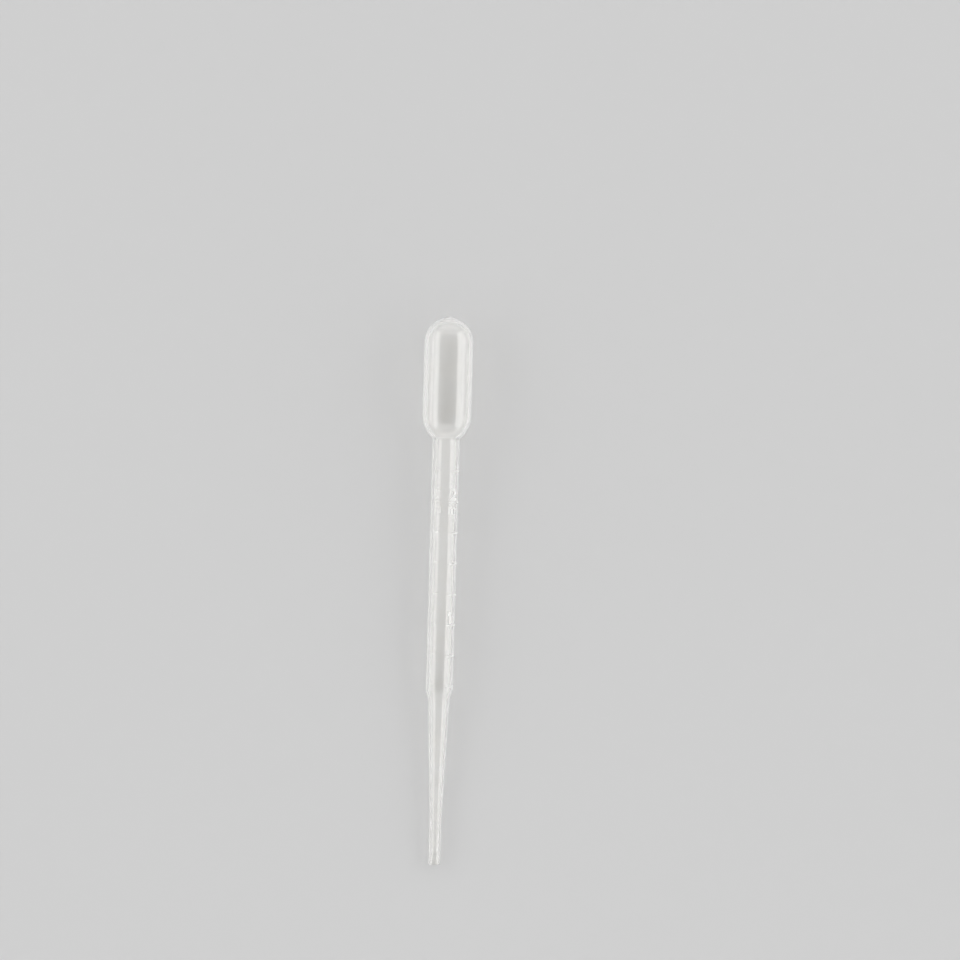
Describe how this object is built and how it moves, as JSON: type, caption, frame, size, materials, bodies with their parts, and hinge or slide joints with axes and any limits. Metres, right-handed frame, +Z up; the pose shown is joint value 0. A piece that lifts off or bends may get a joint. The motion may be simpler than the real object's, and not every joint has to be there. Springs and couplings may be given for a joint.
{
  "type": "dropper pipette",
  "caption": "Graduated plastic dropper pipette in one piece: a long round-ended squeeze bulb, a straight stem with raised marks and a tapering open tip.",
  "frame": {"origin": "on the surface that the pipette lies on, under the middle of its length", "axes": "+Y from the open tip towards the crown of the bulb, +Z up, +X to the right seen from above with the bulb away from the viewer. The axis of the pipette rises 2.3 degrees from tip to bulb, as it does when the bulb and the head of the step touch the surface."},
  "size_m": [0.0138, 0.1552, 0.0146],
  "materials": {
    "polyethylene": "soft satin, milky and translucent"
  },
  "bodies": {
    "root": {"pipette": "polyethylene"}
  },
  "joints": []
}
